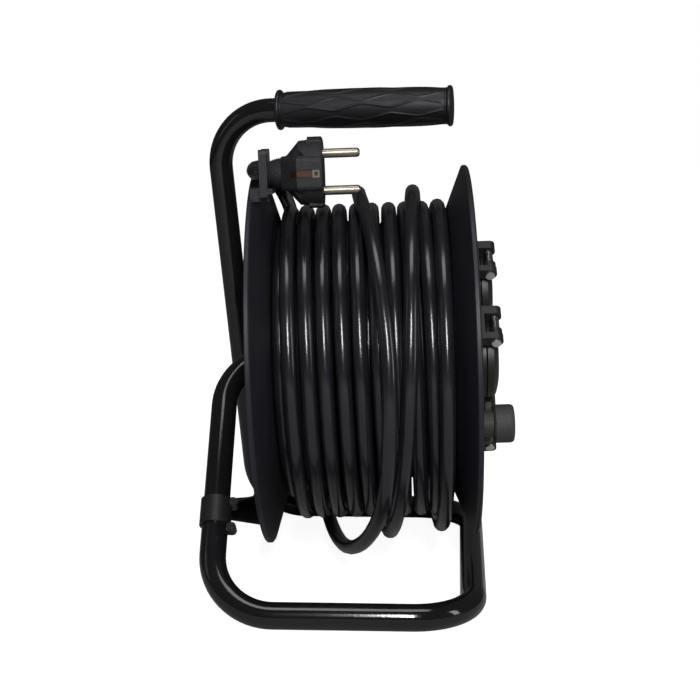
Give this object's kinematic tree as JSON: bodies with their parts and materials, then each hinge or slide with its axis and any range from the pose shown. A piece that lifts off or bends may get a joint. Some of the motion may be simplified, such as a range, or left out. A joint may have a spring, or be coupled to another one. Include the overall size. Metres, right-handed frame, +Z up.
{
  "type": "extension cord reel",
  "caption": "Hand-wound extension cord reel on a bent-tube stand with a carrying handle, lidded sockets on its face and its plug parked on the rim.",
  "frame": {"origin": "middle of the base in X and Y, on the floor, measured without the cord and its plug", "axes": "+X along the drum's axle from the legs to the sockets, +Y away from the side the parked plug is on, +Z up"},
  "size_m": [0.172, 0.21, 0.2757],
  "materials": {
    "frame_paint": "gloss",
    "grip_rubber": "satin",
    "brace_plastic": "satin",
    "drum_plastic": "satin",
    "panel_plastic": "satin",
    "lid_plastic": "satin",
    "insert_plastic": "satin",
    "knob_plastic": "fine grained",
    "bush_plastic": "satin",
    "cord_sheath": "gloss",
    "plug_rubber": "fine grained",
    "pin_nickel": "polished",
    "screw_steel": "zinc plated",
    "screw_black": "black oxide",
    "spring_steel": "bright",
    "contact_brass": "satin",
    "strip_bronze": "dull",
    "button_red": "gloss"
  },
  "bodies": {
    "frame": {"handle_tube": "frame_paint", "base_loop": "frame_paint", "axle_leg": "frame_paint", "handle_grip": "grip_rubber", "brace_arm": "brace_plastic", "brace_front": "brace_plastic", "brace_screws": "screw_black", "axle_stop_collar": "brace_plastic", "axle_washer": "screw_steel", "axle_clip": "spring_steel", "axle_plug": "brace_plastic"},
    "drum": {"rear_flange": "drum_plastic", "front_flange": "drum_plastic", "barrel_screws": "screw_steel", "rear_bush": "bush_plastic", "front_bush": "bush_plastic", "socket_panel": "panel_plastic", "panel_screws": "screw_steel", "earth_clips": "spring_steel", "contact_sleeves": "contact_brass", "lid_hinge_pins": "spring_steel", "lid_springs": "spring_steel", "thermal_cutout": "insert_plastic", "terminal_block": "bush_plastic", "cord_clamp": "brace_plastic", "knob_spindle": "screw_steel", "plug_clip": "drum_plastic", "plug_body": "plug_rubber", "plug_pins": "pin_nickel", "plug_earth_strips": "strip_bronze", "plug_earth_contacts": "pin_nickel", "plug_strain_relief": "plug_rubber", "inner_windings": "cord_sheath", "cable_winding": "cord_sheath", "cable_tail": "cord_sheath", "socket_insert_1": "insert_plastic", "socket_base_1": "insert_plastic", "hinge_block_1": "panel_plastic", "socket_insert_2": "insert_plastic", "socket_base_2": "insert_plastic", "hinge_block_2": "panel_plastic", "socket_insert_3": "insert_plastic", "socket_base_3": "insert_plastic", "hinge_block_3": "panel_plastic", "socket_insert_4": "insert_plastic", "socket_base_4": "insert_plastic", "hinge_block_4": "panel_plastic"},
    "lid_1": {"socket_lid_1": "lid_plastic"},
    "lid_2": {"socket_lid_2": "lid_plastic"},
    "lid_3": {"socket_lid_3": "lid_plastic"},
    "lid_4": {"socket_lid_4": "lid_plastic"},
    "button": {"reset_button": "button_red"},
    "knob": {"winding_knob": "knob_plastic"}
  },
  "joints": [
    {"name": "drum_spin", "type": "hinge", "parent": "frame", "child": "drum", "pos_m": [0.00462, 0, 0.126], "axis": [0.9991, 0, 0.0414], "continuous": true},
    {"name": "knob_spin", "type": "hinge", "parent": "drum", "child": "knob", "pos_m": [0.07551, -0.087, 0.10591], "axis": [0.9991, 0, 0.0414], "continuous": true},
    {"name": "button_press", "type": "slide", "parent": "drum", "child": "button", "axis": [-0.9991, 0, -0.0414], "range_m": [0, 0.0024], "stiffness_N_per_m": 500, "springref_m": -0.002},
    {"name": "lid_1_hinge", "type": "hinge", "parent": "drum", "child": "lid_1", "pos_m": [0.07694, -0.01361, 0.18026], "axis": [0.0272, -0.7524, -0.6581], "range_deg": [0, 105], "stiffness_Nm_per_rad": 0.02, "springref_deg": -20.05},
    {"name": "lid_2_hinge", "type": "hinge", "parent": "drum", "child": "lid_2", "pos_m": [0.07822, -0.04897, 0.14932], "axis": [0.0272, -0.7524, -0.6581], "range_deg": [0, 105], "stiffness_Nm_per_rad": 0.02, "springref_deg": -20.05},
    {"name": "lid_3_hinge", "type": "hinge", "parent": "drum", "child": "lid_3", "pos_m": [0.08117, 0.01361, 0.07791], "axis": [-0.0272, 0.7524, 0.6581], "range_deg": [0, 105], "stiffness_Nm_per_rad": 0.02, "springref_deg": -20.05},
    {"name": "lid_4_hinge", "type": "hinge", "parent": "drum", "child": "lid_4", "pos_m": [0.07989, 0.04897, 0.10884], "axis": [-0.0272, 0.7524, 0.6581], "range_deg": [0, 105], "stiffness_Nm_per_rad": 0.02, "springref_deg": -20.05}
  ]
}
